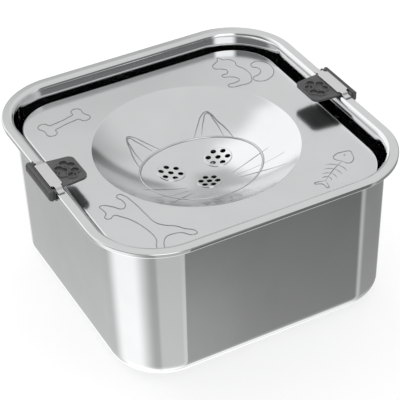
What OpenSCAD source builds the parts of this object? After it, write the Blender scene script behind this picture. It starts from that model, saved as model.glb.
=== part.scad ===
// Square drinking bowl for a dog: a deep-drawn steel tub with a lipped rim,
// a perforated steel plate that floats inside it, and two clips on the rim that keep the plate in.
// Origin: centre of the footprint, on the surface that the bowl stands on. +Z up, -Y is the front.
// The clips sit at the middle of the left (-X) and right (+X) sides.

/* [Tub] */
// Outer width of the square rim
rim_w = 260; // [250:1:275]
// Outer corner radius of the rim
rim_corner_r = 57; // [54:1:60]
// Height of the steel shell, from its underside to the top of the rim
shell_h = 132; // [125:0.5:140]
// Sheet thickness of the tub
sheet_t = 0.8; // [0.6:0.1:1]
// Overhang of the rim beyond the wall
rim_overhang = 9.6; // [9:0.1:10.5]
// Draft of the wall, in degrees
wall_draft = 1.2; // [0.8:0.1:1.4]
// Outer radius where the wall meets the floor
floor_r = 13; // [10:0.5:15]
// Radius of the bend from the wall's inside to the rim
crest_r = 4.2; // [3.5:0.1:4.5]
// Height of the folded lip along the rim's edge
lip_h = 4; // [3.6:0.1:4.4]
// Outer radius of the lip's two bends
lip_r = 1.1; // [1.1:0.1:1.3]

/* [Feet] */
// Radius of each anti-slip pad
pad_r = 14.6; // [12:0.1:15]
// How far the pads stand proud of the shell
pad_proud = 1.5; // [1:0.1:2]
// Distance of the pads from the centre lines
pad_pos = 80; // [74:1:82]

/* [Floating plate] */
// Sheet thickness of the plate
plate_t = 0.6; // [0.5:0.1:0.8]
// Depth of the plate's face below the top of the rim
plate_drop = 13.5; // [13:0.1:15]
// Outer width of the plate
plate_w = 228; // [226:0.5:230]
// Corner radius of the plate
plate_corner_r = 40; // [38:1:42]
// Radius of the bend along the plate's edge
plate_edge_r = 1.5; // [1:0.1:2.5]
// Height of the plate's turned-down edge
plate_edge_h = 6; // [5:0.5:7]
// Radius of the round basin
basin_r = 83; // [80:0.5:84]
// Depth of the basin at its centre
basin_depth = 26; // [22:0.5:26]
// Radius of each water hole
hole_r = 2.3; // [1.8:0.1:2.6]
// Radius of the raised disc round each group of holes
disc_r = 11.5; // [10.5:0.1:12]
// Height of the raised discs
disc_h = 0.7; // [0.4:0.1:0.8]

/* [Floats] */
// Depth of the float pods below the plate
float_h = 27.5; // [27:0.1:28]
// Wall of the float pods
float_wall = 1.4; // [1.2:0.1:1.8]
// Distance from the centre lines to the side walls of the pods
pod_start = 14; // [10:1:34]

/* [Clips] */
// Length of the tongue from its tip to the edge of the steel leaf
tongue_l = 21.8; // [21:0.1:23]
// Half width of the tongue at its root
tongue_half_w = 18; // [17.8:0.1:18.4]
// Thickness of the tongue
tongue_t = 2; // [1.8:0.1:2.2]
// Half length of the grip bar
grip_half_l = 22; // [21.5:0.1:24]
// Thickness of the steel leaf
leaf_t = 1; // [0.8:0.1:1]

/* [Hidden] */
$fn = 96;

steel = [0.78, 0.79, 0.80];
dark_plastic = [0.38, 0.38, 0.39];
float_plastic = [0.22, 0.22, 0.23];
pad_grey = [0.30, 0.31, 0.32];

// Heights
shell_z = pad_proud;
crest_z = shell_z + shell_h;
plate_z = crest_z - plate_drop;
under_plate = plate_z - plate_t;
float_z = under_plate - float_h;

// Corner centres of the tub and of the plate
tub_c = rim_w / 2 - rim_corner_r;
plate_c = plate_w / 2 - plate_corner_r;

// Quarter turn index of each corner: the front left corner is turned half round from the back right one
FRONT_LEFT = 2;
FRONT_RIGHT = 3;
BACK_RIGHT = 0;
BACK_LEFT = 1;

// Points along an arc
function arc(cx, cy, r, from, to, steps) =
  [for (i = [0 : steps]) let (a = from + (to - from) * i / steps) [cx + r * cos(a), cy + r * sin(a)]];

// Carries a half profile (x outwards, y up) round a square path with rounded corners
module carried_round(c) {
  for (k = [0 : 3]) rotate([0, 0, 90 * k]) {
    translate([c, c, 0]) rotate_extrude(angle = 90) children();
    translate([c, c, 0]) rotate([90, 0, 0]) linear_extrude(2 * c) children();
  }
}

// Tub: floor fillet centre, rim bend centre and centres of the lip's bends, in the half profile
bend_z = crest_z - crest_r;
wall_top_u = rim_corner_r - rim_overhang;
bend_u = wall_top_u + (crest_r - sheet_t) / cos(wall_draft);
fillet_z = shell_z + floor_r;
wall_low_z = fillet_z - floor_r * sin(wall_draft);
fillet_u = wall_top_u - (bend_z - wall_low_z) * tan(wall_draft) - floor_r * cos(wall_draft);
lip_u = rim_corner_r - lip_r;
lip_top = crest_z - lip_r;
lip_low = crest_z - lip_h + lip_r;
lip_return = 0.5;

tub_profile = concat(
  [[0, shell_z]],
  arc(fillet_u, fillet_z, floor_r, -90, -wall_draft, 8),
  arc(bend_u, bend_z, crest_r - sheet_t, 180 - wall_draft, 90, 5),
  arc(lip_u, lip_top, lip_r - sheet_t, 90, 0, 4),
  arc(lip_u, lip_low, lip_r - sheet_t, 0, -90, 4),
  [[lip_u - lip_return, lip_low - lip_r + sheet_t], [lip_u - lip_return, lip_low - lip_r]],
  arc(lip_u, lip_low, lip_r, -90, 0, 6),
  arc(lip_u, lip_top, lip_r, 0, 90, 6),
  arc(bend_u, bend_z, crest_r, 90, 180 - wall_draft, 5),
  arc(fillet_u, fillet_z, floor_r - sheet_t, -wall_draft, -90, 8),
  [[0, shell_z + sheet_t]]);

dimple_r = pad_r + 0.4;
dimple_depth = 1;

module at_pads() {
  for (k = [0 : 3]) rotate([0, 0, 90 * k]) translate([pad_pos, pad_pos, 0]) children();
}

module tub_shell() {
  color(steel) difference() {
    union() {
      carried_round(tub_c) polygon(tub_profile);
      translate([-tub_c, -tub_c, shell_z]) cube([2 * tub_c, 2 * tub_c, sheet_t]);
      at_pads() translate([0, 0, shell_z]) cylinder(r = dimple_r + sheet_t, h = dimple_depth + sheet_t);
    }
    at_pads() translate([0, 0, shell_z - 1]) cylinder(r = dimple_r, h = dimple_depth + 1);
  }
}

// Anti-slip pad with two ring grooves in its tread
pad_h = pad_proud + dimple_depth;
pad_chamfer = 0.7;
groove_w = 1.2;
groove_depth = 0.6;
pad_profile = [[0, 0],
  [5 - groove_w / 2, 0], [5 - groove_w / 2, groove_depth], [5 + groove_w / 2, groove_depth], [5 + groove_w / 2, 0],
  [9.5 - groove_w / 2, 0], [9.5 - groove_w / 2, groove_depth],
  [9.5 + groove_w / 2, groove_depth], [9.5 + groove_w / 2, 0],
  [pad_r - pad_chamfer, 0], [pad_r, pad_chamfer], [pad_r, pad_h], [0, pad_h]];

module foot(corner) {
  color(pad_grey) rotate([0, 0, 90 * corner]) translate([pad_pos, pad_pos, 0])
    rotate_extrude() polygon(pad_profile);
}

// Plate: flat sheet with a turned-down edge, spherical basin, raised discs and water holes
edge_u = plate_corner_r - plate_edge_r;
edge_z = plate_z - plate_edge_r;
edge_low = plate_z - plate_edge_h;
plate_profile = concat(
  [[0, under_plate]],
  arc(edge_u, edge_z, plate_edge_r - plate_t, 90, 0, 6),
  [[plate_corner_r - plate_t, edge_low], [plate_corner_r, edge_low]],
  arc(edge_u, edge_z, plate_edge_r, 0, 90, 6),
  [[0, plate_z]]);

basin_R = (basin_r * basin_r + basin_depth * basin_depth) / (2 * basin_depth);
basin_low = plate_z - basin_depth;
basin_centre_z = basin_low + basin_R;
ball_fn = 180;

// Two eyes and a nose, each a middle hole with six round it: x, y and pitch radius
hole_groups = [[-21.4, 4.4, 7.8], [21.4, 4.4, 7.8], [0, -20.5, 6.6]];

module water_holes() {
  for (g = hole_groups) translate([g[0], g[1], basin_low - 5]) {
    cylinder(r = hole_r, h = basin_depth);
    for (k = [0 : 5]) rotate([0, 0, 30 + 60 * k]) translate([g[2], 0, 0])
      cylinder(r = hole_r, h = basin_depth);
  }
}

// Round the holes the basin's sheet stands up in a disc
module raised_disc(g) {
  rim = disc_r - (g[2] < 7 ? 1.4 : 0);
  intersection() {
    translate([0, 0, basin_centre_z]) difference() {
      sphere(r = basin_R + plate_t / 2, $fn = ball_fn);
      sphere(r = basin_R - disc_h, $fn = ball_fn);
    }
    translate([g[0], g[1], basin_low - 5]) cylinder(r = rim, h = basin_depth);
  }
}

// Flat sheet with its turned-down edge
module plate_sheet() {
  carried_round(plate_c) polygon(plate_profile);
  translate([-plate_c, -plate_c, under_plate]) cube([2 * plate_c, 2 * plate_c, plate_t]);
}

// Solid cap of the ball that the basin's underside lies on
module basin_cap() {
  intersection() {
    translate([0, 0, basin_centre_z]) sphere(r = basin_R + plate_t, $fn = ball_fn);
    translate([0, 0, basin_low - 2]) cylinder(r = basin_r + 5, h = basin_depth + 2 - plate_t / 2);
  }
}

module plate_panel() {
  color(steel) difference() {
    union() {
      difference() {
        union() {
          plate_sheet();
          basin_cap();
        }
        translate([0, 0, basin_centre_z]) sphere(r = basin_R, $fn = ball_fn);
      }
      for (g = hole_groups) raised_disc(g);
    }
    water_holes();
  }
}

// Float pods: hollow mouldings that fill the plate's corners round the basin
pod_inset = 4;
pod_half = plate_w / 2 - pod_inset;
pod_corner_r = plate_corner_r - pod_inset;
pod_clear_r = basin_r + 5;
lid_t = 2;
lid_z = under_plate - lid_t;
plug_h = 1.2;
stud_pos = 81;
stud_r = 2;
boss_r = 5.5;
seat_r = 6.5;
seat_depth = 5;
seat_wall = 1.8;

// Outline of the back right pod, drawn in by an inset
module pod_outline(inset) {
  low = pod_start + inset;
  side = pod_half - inset - low;
  c = pod_half - pod_corner_r;
  difference() {
    union() {
      translate([low, low]) square([side, c - low]);
      translate([low, low]) square([c - low, side]);
      translate([c, c]) circle(r = pod_corner_r - inset);
    }
    circle(r = pod_clear_r + inset, $fn = 180);
  }
}

module float_body(corner) {
  cavity_top = lid_z - float_z;
  color(float_plastic) rotate([0, 0, 90 * corner]) difference() {
    translate([0, 0, float_z]) union() {
      difference() {
        linear_extrude(cavity_top) pod_outline(0);
        translate([0, 0, float_wall]) linear_extrude(cavity_top) pod_outline(float_wall);
      }
      translate([stud_pos, stud_pos, 0]) {
        cylinder(r = boss_r, h = cavity_top - plug_h);
        cylinder(r = seat_r + seat_wall, h = seat_depth + seat_wall);
      }
    }
    translate([stud_pos, stud_pos, float_z - 1]) {
      cylinder(r = stud_r + 0.3, h = cavity_top + 2);
      cylinder(r = seat_r, h = seat_depth + 1);
    }
  }
}

module float_lid(corner) {
  flange_r = 5.4;
  color(float_plastic) rotate([0, 0, 90 * corner]) difference() {
    union() {
      translate([0, 0, lid_z]) linear_extrude(lid_t) pod_outline(0);
      translate([0, 0, lid_z - plug_h]) linear_extrude(plug_h + 0.5) pod_outline(float_wall + 0.2);
    }
    translate([stud_pos, stud_pos, lid_z - plug_h - 1]) cylinder(r = stud_r + 0.3, h = lid_t + plug_h + 2);
    translate([stud_pos, stud_pos, under_plate - 1]) cylinder(r = flange_r, h = 2);
  }
}

module at_studs() {
  for (k = [0 : 3]) rotate([0, 0, 90 * k]) translate([stud_pos, stud_pos, 0]) children();
}

// Fasteners of the pods: weld studs under the plate, washers in the seats, nuts below them
washer_t = 1;
nut_h = 3.2;
nut_af = 7;
washer_z = float_z + seat_depth - washer_t;
stud_end_z = float_z + 0.4;
weld_r = 5;
weld_t = 0.8;

module float_studs() {
  color(steel) at_studs() {
    translate([0, 0, stud_end_z]) cylinder(r = stud_r, h = under_plate - stud_end_z);
    translate([0, 0, under_plate - weld_t]) cylinder(r = weld_r, h = weld_t);
  }
}

module float_washers() {
  color(steel) at_studs() translate([0, 0, washer_z]) difference() {
    cylinder(r = 5.5, h = washer_t);
    translate([0, 0, -1]) cylinder(r = stud_r + 0.15, h = washer_t + 2);
  }
}

module float_nuts() {
  color(steel) at_studs() translate([0, 0, washer_z - nut_h]) difference() {
    cylinder(r = nut_af / 2 / cos(30), h = nut_h, $fn = 6);
    translate([0, 0, -1]) cylinder(r = stud_r + 0.02, h = nut_h + 2);
  }
}

// Clips, drawn for the right side and mirrored for the left. The jaw hooks under the rim's lip,
// the leaf's feet bear on the rim's top, and the clip tips up round the jaw.
rim_half = rim_w / 2;
wall_in = rim_half - rim_overhang - sheet_t;
bridge_gap = 0.45;
jaw_gap = 0.35;

// Steel leaf: flat in the middle, narrow necks that step down to a foot at each end
leaf_in = rim_half - 8.5;
leaf_out = rim_half + 1.2;
leaf_top = crest_z + 3;
leaf_low = leaf_top - leaf_t;
leaf_flat_half = 14.6;
neck_in = leaf_in + 1.8;
neck_out = leaf_out - 2.4;
neck_end = 19;
neck_drop = 0.2;
ramp_end = 20.2;
leaf_end = 24.3;
foot_low = crest_z + 0.2;
shoulder_r = 1.2;
shoulder_turn = 80;
neck_start = leaf_flat_half + 2.3;

leaf_side = [
  [-leaf_end, foot_low], [-ramp_end, foot_low], [-neck_end, leaf_low - neck_drop],
  [-leaf_flat_half, leaf_low], [leaf_flat_half, leaf_low], [neck_end, leaf_low - neck_drop],
  [ramp_end, foot_low], [leaf_end, foot_low], [leaf_end, foot_low + leaf_t],
  [ramp_end, foot_low + leaf_t], [neck_end, leaf_top - neck_drop], [leaf_flat_half, leaf_top],
  [-leaf_flat_half, leaf_top], [-neck_end, leaf_top - neck_drop],
  [-ramp_end, foot_low + leaf_t], [-leaf_end, foot_low + leaf_t]];

// Shoulder of the leaf, so deep: a round corner, then a hollow that runs into the neck
function shoulder(depth) = concat(
  arc(leaf_in + shoulder_r, leaf_flat_half - 0.2, shoulder_r, 180, 180 - shoulder_turn, 4),
  arc(leaf_in + depth - 1, neck_start, 1, -shoulder_turn, 0, 4),
  [[leaf_in + depth, leaf_end + 1]]);
leaf_mid = (leaf_in + leaf_out) / 2;

// Points in reverse order, mirrored in the line x = mid or in the line y = 0
function across_x(points, mid) =
  [for (i = [len(points) - 1 : -1 : 0]) [2 * mid - points[i][0], points[i][1]]];
function across_y(points) = [for (i = [len(points) - 1 : -1 : 0]) [points[i][0], -points[i][1]]];

leaf_back_end = concat(shoulder(neck_in - leaf_in), across_x(shoulder(leaf_out - neck_out), leaf_mid));

module leaf_plan() {
  polygon(concat(leaf_back_end, across_y(leaf_back_end)));
}

module clip_leaf() {
  color(steel) intersection() {
    translate([leaf_mid - 10, 0, 0]) rotate([90, 0, 90]) linear_extrude(20) polygon(leaf_side);
    translate([0, 0, crest_z - 1]) linear_extrude(6) leaf_plan();
  }
}

// Tongue over the plate: straight root, slightly drawn in to a tip with round corners
tongue_tip = leaf_in - tongue_l;
tongue_top = crest_z + 1.5;
tongue_root = leaf_in + 1.6;
tip_r = 5.5;
tip_draw_in = 2;
tongue_outline = concat(
  [[tongue_root, -tongue_half_w]],
  [[tongue_root, tongue_half_w]],
  arc(tongue_tip + tip_r, tongue_half_w - tip_draw_in - tip_r, tip_r, 93, 180, 6),
  arc(tongue_tip + tip_r, -tongue_half_w + tip_draw_in + tip_r, tip_r, 180, 267, 6));

// Paw print in the tongue, pressed in within a raised border: four toes and a pad of three rounds,
// as x from the tongue's tip and y
paw_depth = 1;
paw_border_w = 1;
paw_border_h = 0.6;
toe_r = 3.2;
paw_toes = [[10.6, 8.4], [6.3, 3.8], [6.3, -3.8], [10.6, -8.4]];
pad_round_r = 3.3;
pad_rounds = [[16.4, 3.6], [14.3, 0], [16.4, -3.6]];

module paw_print(z, grow) {
  translate([tongue_tip, 0, z]) {
    for (t = paw_toes) translate([t[0], t[1], 0]) cylinder(r = toe_r + grow, h = 2);
    for (t = pad_rounds) translate([t[0], t[1], 0]) cylinder(r = pad_round_r + grow, h = 2);
  }
}

// Section of the grip, the bridge under the leaf and the jaw under the rim
bridge_low = crest_z + bridge_gap;
jaw_t = 1.8;
jaw_top = crest_z - lip_h - jaw_gap;
jaw_low = jaw_top - jaw_t;
jaw_tip = rim_half - 2.6;
slot_x = rim_half + 0.6;
grip_out = rim_half + 6.3;
grip_top = leaf_top - 0.3;
grip_top_r = 3.2;
grip_low_r = 4.2;
grip_section = concat(
  [[slot_x, bridge_low], [leaf_in, bridge_low], [leaf_in, leaf_low], [leaf_out + 0.2, leaf_low]],
  [[leaf_out + 0.2, grip_top - 0.3], [leaf_out + 0.6, grip_top]],
  arc(grip_out - grip_top_r, grip_top - grip_top_r, grip_top_r, 90, 0, 6),
  arc(grip_out - grip_low_r, jaw_low + grip_low_r, grip_low_r, 0, -90, 6),
  [[jaw_tip, jaw_low], [jaw_tip, jaw_top], [slot_x, jaw_top]]);

// Outline of the grip in plan: bridge inside the necks, gussets beside them, a nose at each end
grip_inner = neck_out + 0.3;
gusset_end = grip_half_l + 0.8;
nose_r = 2;
grip_back_half = concat(
  [[leaf_in - 0.5, leaf_flat_half], [leaf_out + 0.2, leaf_flat_half]],
  [[leaf_out + 0.2, neck_start + 0.8], [grip_inner, neck_start + 1.8]],
  [[grip_inner, gusset_end], [slot_x, gusset_end - 0.4], [slot_x + 0.5, grip_half_l - 0.9]],
  arc(slot_x + 0.5 + nose_r, grip_half_l - nose_r, nose_r, 150, 90, 3),
  arc(grip_out - nose_r, grip_half_l - nose_r, nose_r, 90, 0, 4));

module grip_plan() {
  polygon(concat(grip_back_half, across_y(grip_back_half)));
}

module clip_body() {
  color(dark_plastic) difference() {
    union() {
      translate([0, 0, tongue_top - tongue_t]) linear_extrude(tongue_t) polygon(tongue_outline);
      paw_print(tongue_top + paw_border_h - 2, paw_border_w);
      intersection() {
        translate([0, grip_half_l + 1, 0]) rotate([90, 0, 0]) linear_extrude(2 * grip_half_l + 2)
          polygon(grip_section);
        translate([0, 0, jaw_low - 1]) linear_extrude(leaf_top - jaw_low + 2) grip_plan();
      }
      translate([jaw_tip, -leaf_flat_half, jaw_low]) cube([slot_x + 1 - jaw_tip, 2 * leaf_flat_half, jaw_t]);
    }
    translate([wall_in - 1.4, -tongue_half_w - 1, jaw_top])
      cube([slot_x - wall_in + 1.4, 2 * tongue_half_w + 2, bridge_low - jaw_top]);
    paw_print(tongue_top - paw_depth, 0);
  }
}

tub_shell();
foot(FRONT_LEFT);  // foot_front_left
foot(FRONT_RIGHT);  // foot_front_right
foot(BACK_RIGHT);  // foot_back_right
foot(BACK_LEFT);  // foot_back_left
plate_panel();
float_body(FRONT_LEFT);  // float_front_left
float_body(FRONT_RIGHT);  // float_front_right
float_body(BACK_RIGHT);  // float_back_right
float_body(BACK_LEFT);  // float_back_left
float_lid(FRONT_LEFT);  // float_lid_front_left
float_lid(FRONT_RIGHT);  // float_lid_front_right
float_lid(BACK_RIGHT);  // float_lid_back_right
float_lid(BACK_LEFT);  // float_lid_back_left
float_studs();
float_washers();
float_nuts();
mirror([1, 0, 0]) clip_body();  // left_clip_body
mirror([1, 0, 0]) clip_leaf();  // left_clip_leaf
clip_body();  // right_clip_body
clip_leaf();  // right_clip_leaf
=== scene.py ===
"""Square steel drinking bowl for a dog, dressed for rendering.

The tub, the floating plate with its pressed lines and the rim clips are modelled here over the frame's parts.
The floats, their fasteners and the pads keep the frame's shapes and get their finishes here.
Everything is in metres, +Z up. The front is -Y, and the clips sit on the left (-X) and right (+X) sides.
"""

import math

import bmesh
import bpy
from bpy.props import FloatProperty, FloatVectorProperty, PointerProperty
from bpy.types import Operator, Panel, PropertyGroup
from mathutils import Matrix, Vector


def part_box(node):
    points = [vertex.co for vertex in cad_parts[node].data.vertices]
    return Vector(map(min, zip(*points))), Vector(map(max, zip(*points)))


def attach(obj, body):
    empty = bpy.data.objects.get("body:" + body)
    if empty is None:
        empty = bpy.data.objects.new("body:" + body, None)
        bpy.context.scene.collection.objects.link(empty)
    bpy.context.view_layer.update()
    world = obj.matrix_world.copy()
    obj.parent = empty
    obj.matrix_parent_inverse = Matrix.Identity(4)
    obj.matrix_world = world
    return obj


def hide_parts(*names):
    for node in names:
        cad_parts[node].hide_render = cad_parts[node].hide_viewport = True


bl_info = {
    "name": "Square Drinking Bowl",
    "version": (1, 0, 0),
    "blender": (4, 5, 0),
    "location": "View3D > Sidebar > Bowl",
    "description": "Builds a square steel drinking bowl with a floating plate and two rim clips",
    "category": "Object",
}

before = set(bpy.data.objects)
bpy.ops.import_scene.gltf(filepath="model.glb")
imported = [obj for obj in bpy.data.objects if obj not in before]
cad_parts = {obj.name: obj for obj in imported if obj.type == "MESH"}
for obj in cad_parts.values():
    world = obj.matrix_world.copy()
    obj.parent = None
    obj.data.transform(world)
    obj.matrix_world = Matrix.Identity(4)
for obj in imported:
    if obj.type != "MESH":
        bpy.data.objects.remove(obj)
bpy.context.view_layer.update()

MM = 0.001
MERGE_DISTANCE = 0.002 * MM
NEAR = 0.01 * MM
# Edges below these angles are shaded smooth
SMOOTH_ANGLE, LEAF_SMOOTH_ANGLE, LINE_SMOOTH_ANGLE = (math.radians(a) for a in (32, 12, 50))
# Edges over this angle are rounded off
BEVEL_ANGLE = math.radians(35)
CORNERS = ("front_left", "front_right", "back_right", "back_left")
SIDES = ("left", "right")

# Heights and half widths that the frame gives
TUB_LOW, TUB_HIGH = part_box("tub_shell")
PLATE_LOW, PLATE_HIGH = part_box("plate_panel")
RIM_HALF, CREST_Z, SHELL_Z = TUB_HIGH.x, TUB_HIGH.z, TUB_LOW.z
PLATE_HALF, PLATE_Z = PLATE_HIGH.x, PLATE_HIGH.z


def length(name, description, default, low, high):
    """A length in metres that the sidebar shows."""
    return FloatProperty(name=name, description=description, default=default, min=low, max=high,
                         unit="LENGTH", subtype="DISTANCE", precision=5)


def tint(name, description, default):
    """A colour that the sidebar shows."""
    return FloatVectorProperty(name=name, description=description, default=default, size=3,
                               min=0.0, max=1.0, subtype="COLOR")


def share(name, description, default):
    """A value from 0 to 1."""
    return FloatProperty(name=name, description=description, default=default,
                         min=0.0, max=1.0, subtype="FACTOR")


class TubSizes(PropertyGroup):
    """Sizes of the deep-drawn shell"""

    corner_radius: length("Corner radius", "Outer corner radius of the rim", 57 * MM, 54 * MM, 60 * MM)
    sheet: length("Sheet", "Thickness of the sheet", 0.8 * MM, 0.6 * MM, 1 * MM)
    overhang: length("Overhang", "How far the rim stands out past the wall", 9.6 * MM, 9 * MM, 10.5 * MM)
    draft: FloatProperty(name="Draft", description="Lean of the wall", default=math.radians(1.2),
                         min=0.0, max=math.radians(2), subtype="ANGLE", unit="ROTATION")
    floor_radius: length("Floor radius", "Bend from the wall to the floor", 13 * MM, 10 * MM, 15 * MM)
    bend_radius: length("Rim bend", "Bend from the wall's inside to the rim", 4.2 * MM, 3.5 * MM, 4.5 * MM)
    lip_height: length("Lip", "Height of the folded lip along the rim's edge", 4 * MM, 3.6 * MM, 4.4 * MM)
    lip_radius: length("Lip bend", "Outer radius of the lip's two bends", 1.1 * MM, 1.1 * MM, 1.3 * MM)
    lip_return: length("Lip return", "Width folded back under the rim", 0.5 * MM, 0.2 * MM, 1 * MM)
    pad_place: length("Pad place", "Distance of the pads from the centre lines", 80 * MM, 74 * MM, 82 * MM)
    dimple_radius: length("Dimple", "Radius of the dimple that holds a pad", 15 * MM, 14 * MM, 16 * MM)


class PlateSizes(PropertyGroup):
    """Sizes of the floating plate"""

    corner_radius: length("Corner radius", "Corner radius of the plate", 40 * MM, 38 * MM, 42 * MM)
    sheet: length("Sheet", "Thickness of the sheet", 0.6 * MM, 0.5 * MM, 0.8 * MM)
    edge_radius: length("Edge bend", "Radius of the bend along the edge", 1.5 * MM, 1 * MM, 2.5 * MM)
    edge_height: length("Edge", "Height of the turned-down edge", 6 * MM, 5 * MM, 7 * MM)
    basin_radius: length("Basin", "Radius of the round basin", 83 * MM, 80 * MM, 84 * MM)
    basin_bend: length("Basin bend", "Bend from the flat into the basin", 1.5 * MM, 0.5 * MM, 3 * MM)
    hole_radius: length("Hole", "Radius of a water hole", 2.3 * MM, 1.8 * MM, 2.6 * MM)
    disc_radius: length("Eye disc", "Radius of the raised disc round an eye", 11.5 * MM, 11 * MM, 12 * MM)
    nose_radius: length("Nose disc", "Radius of the raised disc round the nose", 10.1 * MM, 9 * MM, 11 * MM)
    disc_height: length("Disc height", "How far the discs stand up", 0.7 * MM, 0.4 * MM, 0.8 * MM)


class ClipSizes(PropertyGroup):
    """Sizes of the clips' rounded edges and grip grooves"""

    body_edge: length("Body edges", "Rounding of the moulded body's edges", 0.3 * MM, 0.1 * MM, 0.4 * MM)
    leaf_edge: length("Leaf edges", "Rounding of the leaf's edges", 0.2 * MM, 0.1 * MM, 0.3 * MM)
    groove_radius: length("Groove", "Radius of the grooves along the grip", 0.4 * MM, 0.2 * MM, 0.6 * MM)
    groove_length: length("Groove length", "Length of the grooves along the grip", 39 * MM, 30 * MM, 42 * MM)


class FinishSettings(PropertyGroup):
    """Colours of the bowl's materials"""

    tub_steel: tint("Tub steel", "Bright steel of the tub", (0.74, 0.745, 0.75))
    plate_steel: tint("Plate steel", "Satin steel of the plate", (0.73, 0.74, 0.745))
    # Painted shade: the pressed lines get a darker steel colour that stands in for the shade along their
    # sides
    line_steel: tint("Line steel", "Duller steel along the pressed lines", (0.36, 0.365, 0.37))
    leaf_steel: tint("Leaf steel", "Satin steel of the clips' leaves", (0.74, 0.74, 0.745))
    clip_plastic: tint("Clip plastic", "Dark plastic of the clips", (0.088, 0.088, 0.09))
    float_plastic: tint("Float plastic", "Dark plastic of the pods", (0.05, 0.05, 0.052))
    pad_rubber: tint("Pad rubber", "Silicone of the pads", (0.06, 0.062, 0.065))


class StudioSettings(PropertyGroup):
    """Camera and light"""

    lens: FloatProperty(name="Lens", description="Focal length of the camera, in millimetres",
                        default=138.63, min=20.0, max=300.0)
    camera_place: FloatVectorProperty(name="Camera", description="Where the camera stands", size=3,
                                      default=(-0.4567, -0.8894, 0.8135), unit="LENGTH", subtype="XYZ")
    camera_turn: FloatVectorProperty(name="Camera turn", description="Azimuth, elevation and roll", size=3,
                                     default=(math.radians(-27.26), math.radians(36.86), math.radians(-1.94)),
                                     unit="ROTATION", subtype="EULER")
    floor_size: length("Floor", "Width of the floor", 6.0, 2.0, 20.0)
    floor_lift: share("Floor lift", "Brightness that the camera sees on the floor beside its shading", 0.44)


# Modelling helpers


def deselect():
    """Leaves nothing selected, in object mode."""
    if bpy.context.object and bpy.context.object.mode != "OBJECT":
        bpy.ops.object.mode_set(mode="OBJECT")
    bpy.ops.object.select_all(action="DESELECT")


def pick(*objects):
    """Selects these objects alone and makes the first active."""
    deselect()
    for obj in objects:
        obj.select_set(True)
    bpy.context.view_layer.objects.active = objects[0]
    return objects[0]


def arc(centre, radius, start, end, steps):
    """Points on an arc from one angle to another, in degrees, as (out, up) pairs."""
    angles = [math.radians(start + (end - start) * i / steps) for i in range(steps + 1)]
    return [(centre[0] + radius * math.cos(a), centre[1] + radius * math.sin(a)) for a in angles]


def draw_chain(points):
    """Draws edges through the points from one vertex and leaves them selected in edit mode."""
    points = [Vector(p) for p in points]
    bpy.ops.mesh.primitive_plane_add(size=MM)
    obj = bpy.context.object
    if obj.mode != "EDIT":
        bpy.ops.object.mode_set(mode="EDIT")
    bpy.ops.mesh.merge(type="CENTER")
    bpy.ops.transform.translate(value=points[0])
    for a, b in zip(points, points[1:]):
        bpy.ops.mesh.extrude_vertices_move(TRANSFORM_OT_translate={"value": b - a})
    bpy.ops.mesh.select_all(action="SELECT")
    return obj


def name_piece(obj, name):
    """Gives an object and its mesh one name."""
    obj.name = obj.data.name = name
    return obj


def merge_all():
    """Selects the whole mesh and merges its doubles, in edit mode."""
    bpy.ops.mesh.select_all(action="SELECT")
    bpy.ops.mesh.remove_doubles(threshold=MERGE_DISTANCE)


def tidy_shell(obj):
    """Merges doubles, drops faces with no area and turns the faces outwards, in edit mode."""
    merge_all()
    bpy.ops.mesh.dissolve_degenerate(threshold=MERGE_DISTANCE)
    bpy.ops.mesh.normals_make_consistent(inside=False)
    bpy.ops.object.mode_set(mode="OBJECT")
    return obj


def join_all(objects):
    """Joins objects into the first and applies its place and turn."""
    pick(*objects)
    bpy.ops.object.join()
    bpy.ops.object.transform_apply(location=True, rotation=True)
    return bpy.context.object


def carry_round(centre, steps):
    """Carries the selected half profile, drawn at the front right, round a square path with round corners."""
    turns = (((1, 1), (0, 1, 0)), ((-1, 1), (-1, 0, 0)), ((-1, -1), (0, -1, 0)), ((1, -1), (1, 0, 0)))
    for (sx, sy), way in turns:
        straight = 2 * centre * Vector(way)
        bpy.ops.mesh.extrude_region_move(TRANSFORM_OT_translate={"value": straight})
        bpy.ops.mesh.spin(steps=steps, angle=-math.pi / 2, center=(sx * centre, sy * centre, 0),
                          axis=(0, 0, 1))


def apply_modifier(obj, kind, **settings):
    """Adds a modifier with these settings and applies it."""
    pick(obj)
    modifier = obj.modifiers.new(kind.title(), kind)
    for key, value in settings.items():
        setattr(modifier, key, value)
    bpy.ops.object.modifier_apply(modifier=modifier.name)
    return obj


def combine(obj, tool, operation):
    """Joins, cuts or intersects obj with a tool shape, which is then removed."""
    apply_modifier(obj, "BOOLEAN", object=tool, operation=operation, solver="EXACT")
    bpy.data.objects.remove(tool)
    return obj


def soften(obj, angle=SMOOTH_ANGLE):
    """Shades smooth up to an angle, with the large faces deciding the normals."""
    pick(obj)
    bpy.ops.object.shade_smooth_by_angle(angle=angle)
    return apply_modifier(obj, "WEIGHTED_NORMAL", mode="FACE_AREA", weight=50, keep_sharp=True)


def dress(obj, body, slot, material, *nodes):
    """Gives a finished piece its material and body, and hides the frame nodes that it stands for. The slot is
    not used.
    """
    obj.data.materials.clear()
    obj.data.materials.append(material)
    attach(obj, body)
    if nodes:
        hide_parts(*nodes)
    return obj


# Materials


def socket(group, name, direction, default=None, kind="NodeSocketFloat"):
    """Adds a named socket to a node group."""
    made = group.interface.new_socket(name=name, in_out=direction, socket_type=kind)
    if default is not None:
        made.default_value = default
    return made


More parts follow.
